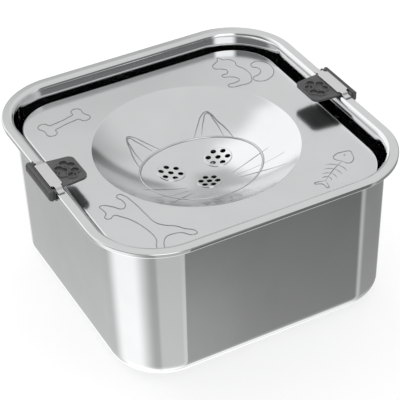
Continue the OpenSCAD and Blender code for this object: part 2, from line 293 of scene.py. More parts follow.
class Graph:
    """Short calls for placing and linking nodes in one tree."""

    def __init__(self, tree):
        self.tree = tree
        self.count = 0

    def node(self, kind, inputs=None, **settings):
        """Adds a node, sets its properties, and fills its inputs with values or other nodes' sockets."""
        made = self.tree.nodes.new(kind)
        made.location = (200 * (self.count % 12), -240 * (self.count // 12))
        self.count += 1
        for key, value in settings.items():
            setattr(made, key, value)
        return self.fill(made, inputs or {})

    def fill(self, made, inputs):
        """Links a node's inputs to sockets, or sets them to values."""
        for key, value in inputs.items():
            if isinstance(value, bpy.types.NodeSocket):
                self.tree.links.new(value, made.inputs[key])
            else:
                made.inputs[key].default_value = value
        return made

    def math(self, operation, a, b=0.0, c=0.0):
        """A math node's result."""
        return self.node("ShaderNodeMath", {0: a, 1: b, 2: c}, operation=operation).outputs[0]

    def ramp(self, value, low, high, to_low=0.0, to_high=1.0, smooth=True):
        """Maps a value from one range to another, clamped."""
        return self.node("ShaderNodeMapRange", {0: value, 1: low, 2: high, 3: to_low, 4: to_high},
                         interpolation_type="SMOOTHSTEP" if smooth else "LINEAR").outputs[0]


def new_group(name):
    """An empty shader node group and its graph."""
    group = bpy.data.node_groups.new(name, "ShaderNodeTree")
    return group, Graph(group)


def satin_grain_group():
    """Fine drawn grain of sheet steel: long thin noise, with broad patches where it is stronger."""
    group, g = new_group("satin_grain")
    socket(group, "Place", "INPUT", kind="NodeSocketVector")
    socket(group, "Stretch", "INPUT", (1.0, 1.0, 1.0), "NodeSocketVector")
    socket(group, "Scale", "INPUT", 1500.0)
    socket(group, "Height", "OUTPUT")
    socket(group, "Patches", "OUTPUT")
    given = g.node("NodeGroupInput").outputs
    stretched = g.node("ShaderNodeVectorMath", {0: given["Place"], 1: given["Stretch"]}, operation="MULTIPLY")
    fine = g.node("ShaderNodeTexNoise", {"Vector": stretched.outputs[0], "Scale": given["Scale"],
                                         "Detail": 3.0, "Roughness": 0.6})
    broad = g.node("ShaderNodeTexNoise", {"Vector": given["Place"], "Scale": 28.0, "Detail": 4.0,
                                          "Roughness": 0.55})
    patches = g.ramp(broad.outputs[0], 0.35, 0.65)
    g.node("NodeGroupOutput", {"Height": fine.outputs[0], "Patches": patches})
    return group


def scratch_group():
    """Sparse hair-thin marks of handling: the edges of two crossing sets of stretched cells."""
    group, g = new_group("hair_scratches")
    socket(group, "Place", "INPUT", kind="NodeSocketVector")
    socket(group, "Scale", "INPUT", 90.0)
    socket(group, "Marks", "OUTPUT")
    given = g.node("NodeGroupInput").outputs
    sets = []
    for turn in (0.5, 2.1):
        turned = g.node("ShaderNodeMapping", {"Vector": given["Place"], "Rotation": (0.0, 0.0, turn),
                                              "Scale": (1.0, 0.06, 0.3)})
        bent = g.node("ShaderNodeTexNoise", {"Vector": given["Place"], "Scale": 14.0})
        place = g.node("ShaderNodeMix", {"Factor": 0.004, 4: turned.outputs[0], 5: bent.outputs["Color"]},
                       data_type="VECTOR")
        cells = g.node("ShaderNodeTexVoronoi", {"Vector": place.outputs[1], "Scale": given["Scale"]},
                       feature="DISTANCE_TO_EDGE")
        sets.append(g.ramp(cells.outputs["Distance"], 0.0, 0.012, 1.0, 0.0))
    sparse = g.node("ShaderNodeTexNoise", {"Vector": given["Place"], "Scale": 60.0, "Detail": 1.0})
    keep = g.ramp(sparse.outputs[0], 0.55, 0.68)
    both = g.math("MAXIMUM", sets[0], sets[1])
    g.node("NodeGroupOutput", {"Marks": g.math("MULTIPLY", both, keep)})
    return group


def edge_wear_group():
    """Where edges stand out and hands rub: 1 on sharp outward edges, broken up by noise."""
    group, g = new_group("edge_wear")
    socket(group, "Place", "INPUT", kind="NodeSocketVector")
    socket(group, "Wear", "OUTPUT")
    given = g.node("NodeGroupInput").outputs
    point = g.node("ShaderNodeNewGeometry").outputs["Pointiness"]
    speckle = g.node("ShaderNodeTexNoise", {"Vector": given["Place"], "Scale": 700.0, "Detail": 4.0})
    raised = g.ramp(point, 0.52, 0.60)
    broken = g.ramp(speckle.outputs[0], 0.35, 0.6)
    g.node("NodeGroupOutput", {"Wear": g.math("MULTIPLY", raised, broken)})
    return group


def moulded_grain_group():
    """Fine spark-eroded texture of moulded plastic, with faint flow patches."""
    group, g = new_group("moulded_grain")
    socket(group, "Place", "INPUT", kind="NodeSocketVector")
    socket(group, "Scale", "INPUT", 1800.0)
    socket(group, "Height", "OUTPUT")
    socket(group, "Patches", "OUTPUT")
    given = g.node("NodeGroupInput").outputs
    fine = g.node("ShaderNodeTexNoise", {"Vector": given["Place"], "Scale": given["Scale"], "Detail": 2.0})
    pits = g.node("ShaderNodeTexVoronoi", {"Vector": given["Place"], "Scale": given["Scale"]})
    broad = g.node("ShaderNodeTexNoise", {"Vector": given["Place"], "Scale": 90.0, "Detail": 3.0})
    height = g.math("MULTIPLY_ADD", fine.outputs[0], 0.7, g.math("MULTIPLY", pits.outputs["Distance"], 0.3))
    g.node("NodeGroupOutput", {"Height": height, "Patches": g.ramp(broad.outputs[0], 0.35, 0.65)})
    return group


def shared_groups():
    """The shader node groups, built once."""
    makers = {"satin_grain": satin_grain_group, "hair_scratches": scratch_group,
              "edge_wear": edge_wear_group, "moulded_grain": moulded_grain_group}
    for name, maker in makers.items():
        if name not in bpy.data.node_groups:
            maker()
    return bpy.data.node_groups


def new_material(name):
    """A material with an empty tree, its graph, its shader and its object coordinates."""
    material = bpy.data.materials.new(name)
    material.use_nodes = True
    material.node_tree.nodes.clear()
    g = Graph(material.node_tree)
    shader = g.node("ShaderNodeBsdfPrincipled")
    output = g.node("ShaderNodeOutputMaterial")
    g.tree.links.new(shader.outputs[0], output.inputs["Surface"])
    place = g.node("ShaderNodeTexCoord").outputs["Object"]
    return material, g, shader, place


def set_shader(g, shader, **values):
    """Sets a shader's sockets, by link where a socket is given. Underscores stand for blanks."""
    for key, value in values.items():
        target = shader.inputs[key.replace("_", " ")]
        if isinstance(value, bpy.types.NodeSocket):
            g.tree.links.new(value, target)
        else:
            target.default_value = value


def lift(colour, factor):
    """A colour made lighter or darker, with its alpha."""
    return (*[min(1.0, c * factor) for c in colour], 1.0)


def steel(name, colour, roughness, spread, stretch, grain_depth, scratches):
    """Sheet steel: grain in height and roughness, broad tonal patches and hair scratches."""
    material, g, shader, place = new_material(name)
    groups = shared_groups()
    grain = g.node("ShaderNodeGroup", node_tree=groups["satin_grain"])
    g.tree.links.new(place, grain.inputs["Place"])
    grain.inputs["Stretch"].default_value = stretch
    marks = g.node("ShaderNodeGroup", node_tree=groups["hair_scratches"])
    g.tree.links.new(place, marks.inputs["Place"])
    base = g.node("ShaderNodeMix", {"Factor": grain.outputs["Patches"], 6: lift(colour, 0.985),
                                    7: lift(colour, 1.015)}, data_type="RGBA")
    rough = g.ramp(grain.outputs["Height"], 0.3, 0.7, roughness - spread, roughness + spread)
    rough = g.math("MULTIPLY_ADD", marks.outputs["Marks"], scratches, rough)
    rough = g.math("MULTIPLY_ADD", grain.outputs["Patches"], spread * 0.6, rough)
    bump = g.node("ShaderNodeBump", {"Height": grain.outputs["Height"], "Strength": 1.0,
                                     "Distance": grain_depth})
    set_shader(g, shader, Base_Color=base.outputs[2], Metallic=1.0, Roughness=rough, Normal=bump.outputs[0])
    return material


def plastic(name, colour, roughness, grain_depth, worn):
    """Moulded plastic: eroded grain, faint flow patches, and paler rubbed edges."""
    material, g, shader, place = new_material(name)
    groups = shared_groups()
    grain = g.node("ShaderNodeGroup", node_tree=groups["moulded_grain"])
    g.tree.links.new(place, grain.inputs["Place"])
    wear = g.node("ShaderNodeGroup", node_tree=groups["edge_wear"])
    g.tree.links.new(place, wear.inputs["Place"])
    base = g.node("ShaderNodeMix", {"Factor": grain.outputs["Patches"], 6: lift(colour, 0.94),
                                    7: lift(colour, 1.06)}, data_type="RGBA")
    rubbed = g.node("ShaderNodeMix", {"Factor": g.math("MULTIPLY", wear.outputs["Wear"], worn),
                                      6: base.outputs[2], 7: lift(colour, 2.2)}, data_type="RGBA")
    rough = g.ramp(grain.outputs["Height"], 0.2, 0.8, roughness - 0.05, roughness + 0.05)
    rough = g.math("MULTIPLY_ADD", wear.outputs["Wear"], -0.12, rough)
    bump = g.node("ShaderNodeBump", {"Height": grain.outputs["Height"], "Strength": 0.6,
                                     "Distance": grain_depth})
    set_shader(g, shader, Base_Color=rubbed.outputs[2], Roughness=rough, Normal=bump.outputs[0])
    return material


# Steel has: its colour's name, roughness and its spread, stretch and depth of the grain, scratches.
# Plastic has: its colour's name, roughness, depth of the grain, paleness of worn edges
EVEN_GRAIN, UPRIGHT_GRAIN, LEAF_GRAIN = (1.0, 1.0, 1.0), (1.0, 1.0, 0.04), (1.0, 0.05, 1.0)
FINISHES = {
    "drawn_tub_steel": (steel, "tub_steel", 0.05, 0.01, UPRIGHT_GRAIN, 0.004 * MM, 0.08),
    "pressed_plate_steel": (steel, "plate_steel", 0.15, 0.01, EVEN_GRAIN, 0.002 * MM, 0.06),
    # Painted shade: darker steel on the pressed lines, standing in for the shade along their sides
    "pressed_line_steel": (steel, "line_steel", 0.2, 0.02, EVEN_GRAIN, 0.002 * MM, 0.06),
    "sprung_leaf_steel": (steel, "leaf_steel", 0.12, 0.02, LEAF_GRAIN, 0.004 * MM, 0.05),
    "plain_fastener_steel": (steel, "leaf_steel", 0.26, 0.04, EVEN_GRAIN, 0.006 * MM, 0.05),
    "moulded_clip_plastic": (plastic, "clip_plastic", 0.48, 0.02 * MM, 0.25),
    "sealed_float_plastic": (plastic, "float_plastic", 0.42, 0.02 * MM, 0.1),
    "soft_pad_rubber": (plastic, "pad_rubber", 0.7, 0.03 * MM, 0.1),
}


def finish(name):
    """One of the bowl's materials, made when it is first asked for."""
    maker, colour, *values = FINISHES[name]
    colours = bpy.context.scene.bowl_finish
    return bpy.data.materials.get(name) or maker(name, getattr(colours, colour), *values)


def refinish(name, material):
    """Gives a frame part that stays as it is a new material."""
    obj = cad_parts[name]
    if not obj.data.materials:
        obj.data.materials.append(material)
    for item in obj.material_slots:
        item.material = material


# Tub


# Length of the short faces that hold the flats' normals beside the bends
HOLDING = 1.2 * MM
# How far the dimples' walls and hollows reach up from the shell's underside
DIMPLE_WALL_TOP, DIMPLE_TOP = 1.8 * MM, 1 * MM


def tub_profile(s):
    """Half profile of the shell, from the floor's underside round the rim to the floor's top."""
    inner_bend = s.bend_radius - s.sheet
    slope = math.degrees(s.draft)
    wall_top = s.corner_radius - s.overhang
    bend = (wall_top + inner_bend / math.cos(s.draft), CREST_Z - s.bend_radius)
    floor_z = SHELL_Z + s.floor_radius
    drop = bend[1] - (floor_z - s.floor_radius * math.sin(s.draft))
    fillet = (wall_top - drop * math.tan(s.draft) - s.floor_radius * math.cos(s.draft), floor_z)
    lip_top = (s.corner_radius - s.lip_radius, CREST_Z - s.lip_radius)
    lip_low = (lip_top[0], CREST_Z - s.lip_height + s.lip_radius)
    lip_in = s.lip_radius - s.sheet
    lean = Vector((math.sin(s.draft), math.cos(s.draft)))

    def hold(point, way):
        return [(point[0] + way[0] * HOLDING, point[1] + way[1] * HOLDING)]

    outer_fillet = arc(fillet, s.floor_radius, -90, -slope, 14)
    outer_bend = arc(bend, inner_bend, 180 - slope, 90, 8)
    lip_end = lip_low[0] - s.lip_return
    inner_lip = arc(lip_top, lip_in, 90, 0, 6) + arc(lip_low, lip_in, 0, -90, 6)
    inner_lip += [(lip_end, lip_low[1] - lip_in), (lip_end, lip_low[1] - s.lip_radius)]
    outer_lip = arc(lip_low, s.lip_radius, -90, 0, 8) + arc(lip_top, s.lip_radius, 0, 90, 8)
    crest_bend = arc(bend, s.bend_radius, 90, 180 - slope, 12)
    inner_fillet = arc(fillet, s.floor_radius - s.sheet, -slope, -90, 14)
    points = [(0, SHELL_Z)]
    points += hold(outer_fillet[0], (-1, 0)) + outer_fillet + hold(outer_fillet[-1], lean)
    points += hold(outer_bend[0], -lean) + outer_bend + inner_lip
    points += outer_lip + hold(outer_lip[-1], (-1, 0))
    points += hold(crest_bend[0], (1, 0)) + crest_bend + hold(crest_bend[-1], -lean)
    points += hold(inner_fillet[0], lean) + inner_fillet + hold(inner_fillet[-1], (-1, 0))
    points += [(0, SHELL_Z + s.sheet)]
    return points


class BOWL_OT_tub(Operator):
    """Model the deep-drawn tub with its lipped rim"""

    bl_idname = "bowl.make_tub"
    bl_label = "Tub"

    def execute(self, context):
        s = context.scene.bowl_tub
        centre = RIM_HALF - s.corner_radius
        deselect()
        tub = name_piece(draw_chain([(centre + u, -centre, z) for u, z in tub_profile(s)]), "tub")
        carry_round(centre, 28)
        merge_all()
        bpy.ops.mesh.select_all(action="DESELECT")
        bpy.ops.mesh.select_non_manifold(extend=False)
        bpy.ops.mesh.fill_holes(sides=0)
        tidy_shell(tub)
        outer = self.pad_cylinders(s, s.dimple_radius + s.sheet, 0.1 * MM, DIMPLE_WALL_TOP)
        combine(tub, outer, "UNION")
        combine(tub, self.pad_cylinders(s, s.dimple_radius, -1 * MM, DIMPLE_TOP), "DIFFERENCE")
        soften(tub)
        dress(tub, "tub", "tub_steel", finish("drawn_tub_steel"), "tub_shell")
        return {"FINISHED"}

    def pad_cylinders(self, s, radius, low, high):
        """Four cylinders at the pads' places, between two heights over the shell's underside."""
        made = []
        middle = SHELL_Z + (low + high) / 2
        for sx, sy in ((-1, -1), (1, -1), (1, 1), (-1, 1)):
            deselect()
            bpy.ops.mesh.primitive_cylinder_add(vertices=64, radius=radius, depth=high - low,
                                                location=(sx * s.pad_place, sy * s.pad_place, middle))
            made.append(bpy.context.object)
        return join_all(made)


# Plate


# Two eyes and a nose: x, y and pitch radius of the six outer holes
HOLE_GROUPS = ((-21.4 * MM, 4.4 * MM, 7.8 * MM), (21.4 * MM, 4.4 * MM, 7.8 * MM), (0.0, -20.5 * MM, 6.6 * MM))
# Where the flat's sweep starts, out from the corners' centres
SWEEP_START = 11 * MM
# Short faces that hold the normals: on the flat at its edge, under the edge's bend, and round the basin
EDGE_HOLDING, SKIRT_HOLDING, BASIN_HOLDING = 1 * MM, 0.5 * MM, 0.7 * MM
# Length of the pegs that cut the water holes
PEG_LENGTH = 12 * MM
# A normal this near the ball's own counts as lying on the ball
ON_BALL = 0.997


class Basin:
    """The ball that the basin's face lies on, worked out from the frame and the plate's sizes."""

    def __init__(self, s):
        self.radius = s.basin_radius
        self.low = PLATE_LOW.z + s.sheet
        self.depth = PLATE_Z - self.low
        self.ball = (self.radius ** 2 + self.depth ** 2) / (2 * self.depth)
        self.centre = Vector((0, 0, self.low + self.ball))

    def height(self, x, y):
        """Height of the plate's face over a point of the plan."""
        out = math.hypot(x, y)
        if out >= self.radius:
            return PLATE_Z
        return self.centre.z - math.sqrt(self.ball ** 2 - out ** 2)


def basin_profile(s, basin):
    """From the middle of the basin up its face, round the bend and onto the flat, as (out, up) pairs."""
    bend = s.basin_bend
    below = basin.centre.z - (PLATE_Z - bend)
    bend_out = math.sqrt((basin.ball + bend) ** 2 - below ** 2)
    tilt = math.degrees(math.asin(bend_out / (basin.ball + bend)))
    face = arc((0, basin.centre.z), basin.ball, -90, -90 + tilt, 26)
    turn = arc((bend_out, PLATE_Z - bend), bend, 90 + tilt, 90, 6)
    return face + turn[1:] + [(bend_out + BASIN_HOLDING, PLATE_Z)]


class BOWL_OT_plate(Operator):
    """Model the floating plate: turned-down edge, round basin, raised discs and water holes"""

    bl_idname = "bowl.make_plate"
    bl_label = "Floating plate"

    def execute(self, context):
        s = context.scene.bowl_plate
        basin = Basin(s)
        centre = PLATE_HALF - s.corner_radius
        edge = (s.corner_radius - s.edge_radius, PLATE_Z - s.edge_radius)
        profile = [(SWEEP_START, PLATE_Z), (edge[0] - EDGE_HOLDING, PLATE_Z)]
        profile += arc(edge, s.edge_radius, 90, 0, 8) + [(s.corner_radius, edge[1] - SKIRT_HOLDING)]
        profile += [(s.corner_radius, PLATE_Z - s.edge_height)]
        deselect()
        plate = name_piece(draw_chain([(centre + u, -centre, z) for u, z in profile]), "plate")
        carry_round(centre, 24)
        bpy.ops.object.mode_set(mode="OBJECT")
        deselect()
        bowl = draw_chain([(u, 0, z) for u, z in basin_profile(s, basin)])
        bpy.ops.mesh.spin(steps=144, angle=2 * math.pi, center=(0, 0, 0), axis=(0, 0, 1))
        bpy.ops.object.mode_set(mode="OBJECT")
        pick(plate, bowl)
        bpy.ops.object.join()
        bpy.ops.object.mode_set(mode="EDIT")
        merge_all()
        self.select_inner_loops(plate, centre + SWEEP_START)
        bpy.ops.mesh.fill(use_beauty=True)
        bpy.ops.mesh.select_all(action="SELECT")
        bpy.ops.mesh.normals_make_consistent(inside=False)
        bpy.ops.object.mode_set(mode="OBJECT")
        if sum(face.normal.z * face.area for face in plate.data.polygons) < 0:
            plate.data.flip_normals()
        apply_modifier(plate, "SOLIDIFY", thickness=s.sheet, offset=-1, use_even_offset=True)
        for x, y, _ in HOLE_GROUPS:
            radius = s.disc_radius if x else s.nose_radius
            combine(plate, self.raised_disc(s, basin, x, y, radius), "UNION")
        combine(plate, self.water_holes(s, basin), "DIFFERENCE")
        soften(plate)
        self.true_basin_normals(plate, basin)
        dress(plate, "plate", "plate_steel", finish("pressed_plate_steel"), "plate_panel")
        return {"FINISHED"}

    def select_inner_loops(self, plate, half):
        """Selects the open loops round the basin and inside the square sweep."""
        bpy.ops.mesh.select_all(action="DESELECT")
        mesh = bmesh.from_edit_mesh(plate.data)
        for edge in mesh.edges:
            inside = all(max(abs(v.co.x), abs(v.co.y)) < half + NEAR for v in edge.verts)
            if edge.is_boundary and inside and edge.verts[0].co.z > PLATE_Z - NEAR:
                edge.select_set(True)
        mesh.select_flush(True)
        bmesh.update_edit_mesh(plate.data)

    def raised_disc(self, s, basin, x, y, radius):
        """Low disc with a rounded shoulder that follows the basin's face."""
        up, sink, round_off, fullness = s.disc_height, -0.3 * MM, 0.7 * MM, 0.8
        profile = [(0, up), (radius * 0.45, up), (radius - 2 * round_off, up)]
        profile += [(radius - round_off + round_off * math.sin(t), up * math.cos(t) ** fullness)
                    for t in [math.radians(a) for a in (0, 20, 40, 60, 78, 90)]]
        profile += [(radius, sink), (0, sink)]
        deselect()
        disc = draw_chain([(x + u, y, z) for u, z in profile])
        bpy.ops.mesh.spin(steps=64, angle=2 * math.pi, center=(x, y, 0), axis=(0, 0, 1))
        tidy_shell(disc)
        for v in disc.data.vertices:
            v.co.z += basin.height(v.co.x, v.co.y)
        return disc

    def water_holes(self, s, basin):
        """Cutter with one peg for each water hole."""
        pegs = []
        for x, y, pitch in HOLE_GROUPS:
            places = [(x, y)]
            places += [(x + pitch * math.cos(a), y + pitch * math.sin(a))
                       for a in [math.radians(30 + 60 * k) for k in range(6)]]
            for px, py in places:
                deselect()
                bpy.ops.mesh.primitive_cylinder_add(vertices=28, radius=s.hole_radius, depth=PEG_LENGTH,
                                                    location=(px, py, basin.height(px, py)))
                pegs.append(bpy.context.object)
        return join_all(pegs)

    def true_basin_normals(self, plate, basin):
        """Gives the basin's face and the discs' tops the normals of the ball that they lie on."""
        mesh = plate.data
        normals = [Vector(n.vector) for n in mesh.corner_normals]
        inside = basin.radius - 0.6 * MM
        for face in mesh.polygons:
            for i in face.loop_indices:
                place = mesh.vertices[mesh.loops[i].vertex_index].co
                inward = (basin.centre - place).normalized()
                lined_up = face.normal.dot(inward)
                if math.hypot(place.x, place.y) < inside and abs(lined_up) > ON_BALL:
                    normals[i] = inward if lined_up > 0 else -inward
        mesh.normals_split_custom_set(normals)


# Pressed lines


def mirrored(path):
    """A path on the other side of the centre line."""
    return [(-x, y) for x, y in path]


def ring(cx, cy, a, b, steps=24):
    """Points round an ellipse."""
    return [(cx + a * math.cos(2 * math.pi * i / steps), cy + b * math.sin(2 * math.pi * i / steps))
            for i in range(steps)]


# Cat's face, in millimetres on the plan. Its right half is mirrored
FACE_RING = ring(0, -8, 50.3, 43.4)
EAR_OUTER = [(16, 34.7), (24.7, 44.4), (31.4, 50.4), (36.3, 51.2), (38.5, 47.8), (40, 39), (42, 29),
             (42.5, 13.2)]
EAR_INNER = [(22.7, 34.2), (30.7, 45.5), (35.9, 49.8), (38.1, 40.5), (37.1, 23.1)]
WHISKERS = [[(20.2, -20.7), (44.7, -17.1), (56.2, -16.8)], [(21.8, -26.1), (60.3, -35.6)],
            [(21.1, -31.9), (33.3, -38), (52.1, -52.5)]]

# Corner figures, in millimetres: a leaping dog and a squirrel with its tail. The bone and the fish are below
DOG = [(35, 12), (29, 8), (22, 4), (24, 0), (30, -2), (37, -2), (38, -5), (34, -7), (26, -7), (16, -6),
       (4, -4), (-8, -3), (-15, -6), (-21, -11), (-28, -14), (-35, -18), (-38, -17), (-37, -13), (-30, -9),
       (-27, -4), (-26, 2), (-30, 8), (-36, 13), (-36, 17), (-30, 15), (-24, 10), (-18, 8), (-6, 7), (6, 8),
       (15, 11), (20, 14), (19, 19), (22, 21), (26, 17), (31, 16), (36, 15)]
SQUIRREL = [(-8, 42), (-6, 47), (-3, 43), (2, 42), (6, 37), (6, 31), (10, 25), (13, 17), (13, 9), (10, 2),
            (2, 0), (-8, 0), (-9, 3), (-3, 5), (2, 8), (1, 12), (-4, 15), (-9, 16), (-10, 19), (-5, 21),
            (-4, 26), (-8, 29), (-13, 31), (-14, 35), (-11, 39)]
TAIL = [(14, 5), (20, 1), (28, 4), (33, 11), (34, 20), (31, 28), (25, 32), (19, 30), (18, 25), (22, 22),
        (23, 16), (19, 11), (15, 9)]


def laid(points, place, turn):
    """A figure's points, turned by an angle in degrees and moved to its place."""
    c, s = math.cos(math.radians(turn)), math.sin(math.radians(turn))
    return [(place[0] + c * x - s * y, place[1] + s * x + c * y) for x, y in points]


def bone():
    """Closed outline of a bone along X: a shaft with two knobs at each end."""
    knob, out, up, waist = 4.5, 16.5, 5.5, 3.6
    quarter = arc((out, up), knob, 190, -40, 7)
    right = [(7, waist)] + quarter + [(x, -y) for x, y in reversed(quarter)] + [(7, -waist)]
    return right + [(-x, -y) for x, y in right]


def fish_bones():
    """Skeleton of a fish along X: backbone, slanted ribs, head and forked tail."""
    lines = [[(0, 0), (15, 0.8), (29, 0)]]
    for out, half in ((6, 4), (11, 6), (17, 7.5), (23, 9)):
        lines += [[(out, 0.5), (out - 1.5, half * 0.6), (out - 4, half)],
                  [(out, 0.5), (out - 1.5, -half * 0.6), (out - 4, -half)]]
    lines += [[(29, 0), (29, 7), (35, 8), (41, 4), (44, 0), (41, -3), (35, -7), (29, -6), (29, 0)]]
    lines += [[(0, 0), (-5, 5), (-7, 6), (-5, 0), (-7, -6), (-5, -5), (0, 0)]]
    lines += [[(36, 1), (37, 2), (38, 1)]]
    return lines


# How fine an open line's ends are, beside its middle
FINE_END = 0.35


def pressed_lines(name, basin, paths, closed, width, height):
    """Low rounded ridges along paths on the plan, laid on the plate's face, with fine ends."""
    deselect()
    bpy.ops.curve.primitive_bezier_curve_add()
    obj = name_piece(bpy.context.object, name)
    curve = obj.data
    curve.splines.clear()
    for path in paths:
        spline = curve.splines.new("BEZIER")
        spline.bezier_points.add(len(path) - 1)
        for point, (x, y) in zip(spline.bezier_points, path):
            point.co = (x * MM, y * MM, 0)
            point.handle_left_type = point.handle_right_type = "AUTO"
        spline.use_cyclic_u = closed
        if not closed:
            spline.bezier_points[0].radius = spline.bezier_points[-1].radius = FINE_END
    curve.dimensions = "3D"
    curve.resolution_u = 8
    curve.bevel_depth = width / 2
    curve.bevel_resolution = 3
    curve.use_fill_caps = True
    pick(obj)
    bpy.ops.object.convert(target="MESH")
    obj = bpy.context.object
    obj.data.name = name
    bpy.ops.object.mode_set(mode="EDIT")
    bpy.ops.mesh.select_all(action="SELECT")
    bpy.ops.transform.resize(value=(1, 1, height / (width / 2)), center_override=(0, 0, 0))
    tidy_shell(obj)
    for v in obj.data.vertices:
        v.co.z += basin.height(v.co.x, v.co.y)
    pick(obj)
    bpy.ops.object.shade_smooth_by_angle(angle=LINE_SMOOTH_ANGLE)
    return obj


class BOWL_OT_pressed_lines(Operator):
    """Model the cat's face in the basin and the four corner figures"""

    bl_idname = "bowl.make_pressed_lines"
    bl_label = "Pressed lines"

    def execute(self, context):
        basin = Basin(context.scene.bowl_plate)
        ears = [EAR_OUTER, EAR_INNER, mirrored(EAR_OUTER), mirrored(EAR_INNER)]
        whiskers = WHISKERS + [mirrored(w) for w in WHISKERS]
        fish = [laid(line, (61, -94), 32) for line in fish_bones()]
        squirrel = [laid(line, (71, 56), -14) for line in (SQUIRREL, TAIL)]
        # Name, paths, whether they close, width and height in millimetres
        lines = (
            ("cat_face_ring", [FACE_RING], True, 1.1, 0.6),
            ("cat_face_border", [FACE_RING], True, 2.0, 0.25),
            ("cat_ears", ears, False, 1.1, 0.4),
            ("cat_whiskers", whiskers, False, 0.8, 0.35),
            ("bone_figure", [laid(bone(), (-78, 80.5), 12)], True, 0.9, 0.35),
            ("dog_figure", [laid(DOG, (-79, -68), 103)], True, 0.9, 0.35),
            ("squirrel_figure", squirrel, True, 0.9, 0.35),
            ("fish_figure", fish, False, 0.9, 0.35),
        )
        for name, paths, closed, width, height in lines:
            obj = pressed_lines(name, basin, paths, closed, width * MM, height * MM)
            # The cat's face ring keeps the plate's steel; the other lines get the darker steel with painted
            # shade
            material = "pressed_plate_steel" if name == "cat_face_ring" else "pressed_line_steel"
            dress(obj, "plate", "plate_steel", finish(material))
        return {"FINISHED"}


# Clips


# Two grooves along each grip, in from its outer face and down from its top
GROOVES = ((3.5 * MM, 0.0), (0.9 * MM, 1.0 * MM))


def bevelled_copy(node, name, width, smooth_angle):
    """A frame part's shape with its doubles merged, flat faces joined and edges rounded off."""
    deselect()
    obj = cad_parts[node].copy()
    obj.data = obj.data.copy()
    bpy.context.scene.collection.objects.link(obj)
    name_piece(obj, name)
    for key in list(obj.keys()):
        del obj[key]
    obj.parent = None
    pick(obj)
    bpy.ops.object.mode_set(mode="EDIT")
    merge_all()
    bpy.ops.mesh.dissolve_limited(angle_limit=math.radians(1))
    bpy.ops.object.mode_set(mode="OBJECT")
    apply_modifier(obj, "BEVEL", width=width, segments=2, limit_method="ANGLE", angle_limit=BEVEL_ANGLE,
                   use_clamp_overlap=True, harden_normals=False)
    soften(obj, smooth_angle)
    return obj


class BOWL_OT_clips(Operator):
    """Model both rim clips: moulded bodies with grooved grips, and steel leaves"""

    bl_idname = "bowl.make_clips"
    bl_label = "Rim clips"

    def execute(self, context):
        s = context.scene.bowl_clips
        for side in SIDES:
            body = bevelled_copy(side + "_clip_body", side + "_clip", s.body_edge, SMOOTH_ANGLE)
            combine(body, self.grooves(s, side), "DIFFERENCE")
            soften(body)
            dress(body, side + "_clip", "clip_plastic", finish("moulded_clip_plastic"), side + "_clip_body")
            leaf = bevelled_copy(side + "_clip_leaf", side + "_leaf", s.leaf_edge, LEAF_SMOOTH_ANGLE)
            dress(leaf, side + "_clip", "leaf_steel", finish("sprung_leaf_steel"), side + "_clip_leaf")
        return {"FINISHED"}

    def grooves(self, s, side):
        """Cutter for the two grooves along the grip of one side."""
        low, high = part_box(side + "_clip_body")
        made = []
        for inward, down in GROOVES:
            x = high.x - inward if side == "right" else low.x + inward
            deselect()
            bpy.ops.mesh.primitive_cylinder_add(vertices=16, radius=s.groove_radius, depth=s.groove_length,
                                                location=(x, 0, high.z - down), rotation=(math.pi / 2, 0, 0))
            made.append(bpy.context.object)
        return join_all(made)


# Floats and feet


class BOWL_OT_floats(Operator):
    """Finish the float pods, their lids and their fasteners"""

    bl_idname = "bowl.finish_floats"
    bl_label = "Floats"

    def execute(self, context):
        for corner in CORNERS:
            refinish("float_" + corner, finish("sealed_float_plastic"))
            refinish("float_lid_" + corner, finish("sealed_float_plastic"))
        for fastener in ("float_studs", "float_washers", "float_nuts"):
            refinish(fastener, finish("plain_fastener_steel"))
        return {"FINISHED"}


class BOWL_OT_feet(Operator):
    """Finish the anti-slip pads"""

    bl_idname = "bowl.finish_feet"
    bl_label = "Pads"

    def execute(self, context):
        for corner in CORNERS:
            refinish("foot_" + corner, finish("soft_pad_rubber"))
        return {"FINISHED"}


# Stage


def studio_card_group():
    """One soft-edged card of the studio: 1 inside its span of azimuth and elevation, 0 outside."""
    group, g = new_group("studio_card")
    for name in ("Azimuth", "Elevation", "Middle", "Half width", "Near blur", "Far blur", "Low", "High",
                 "Low blur", "High blur"):
        socket(group, name, "INPUT", 1.0)
    socket(group, "Card", "OUTPUT")
    given = g.node("NodeGroupInput").outputs
    off = g.math("WRAP", g.math("SUBTRACT", given["Azimuth"], given["Middle"]), 180.0, -180.0)
    half = given["Half width"]
    far = g.ramp(off, half, g.math("ADD", half, given["Far blur"]), 1.0, 0.0)
    near = g.ramp(g.math("MULTIPLY", off, -1.0), half, g.math("ADD", half, given["Near blur"]), 1.0, 0.0)
    above = g.ramp(given["Elevation"], g.math("SUBTRACT", given["Low"], given["Low blur"]), given["Low"])
    top = g.math("ADD", given["High"], given["High blur"])
    below = g.ramp(given["Elevation"], given["High"], top, 1.0, 0.0)
    card = g.math("MULTIPLY", g.math("MULTIPLY", near, far), g.math("MULTIPLY", above, below))
    g.node("NodeGroupOutput", {"Card": card})
    return group


# The studio's own light: from and to elevation, the light at each, and whether it changes smoothly
BACKDROP = ((-12.0, 12.0, 0.545, 0.81, True), (-52.0, -38.0, 0.30, 0.0, False),
            (-64.0, -54.0, 0.50, 0.0, True))
LEAST_LIGHT = 0.02

